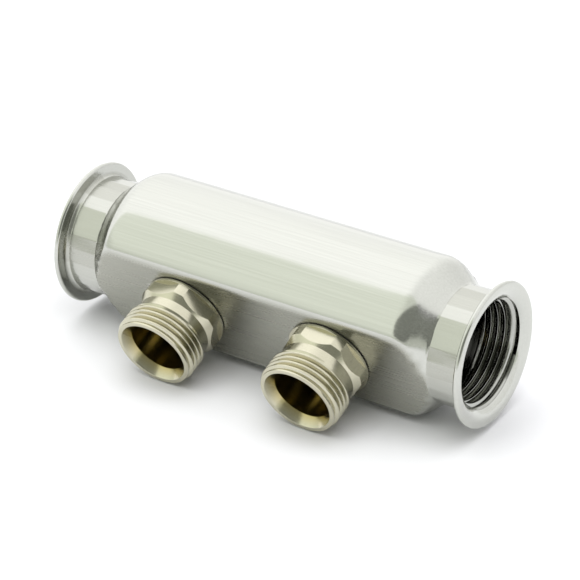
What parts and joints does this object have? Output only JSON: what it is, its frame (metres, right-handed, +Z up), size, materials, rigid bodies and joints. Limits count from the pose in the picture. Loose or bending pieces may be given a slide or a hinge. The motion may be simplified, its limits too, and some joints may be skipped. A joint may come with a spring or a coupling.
{
  "type": "water distribution manifold",
  "caption": "Stainless steel header tube with flared, internally threaded ends and flattened sides, carrying plated brass outlet nipples that share one water supply among several pipes.",
  "frame": {"origin": "middle of the footprint, on the surface that the manifold lies on", "axes": "+X along the header, +Z up; the outlets point along -Y and slope down to that surface"},
  "size_m": [0.1398, 0.0601, 0.0474],
  "materials": {
    "stainless_steel": "bright drawn tube with faint lengthwise streaks",
    "nickel_plated_brass": "turned and thinly plated, pale champagne",
    "seal_rubber": "matt black"
  },
  "bodies": {
    "root": {"manifold_body": "stainless_steel", "outlet_nipple_left": "nickel_plated_brass", "outlet_nipple_right": "nickel_plated_brass", "outlet_seal_left": "seal_rubber", "outlet_seal_right": "seal_rubber"}
  },
  "joints": []
}
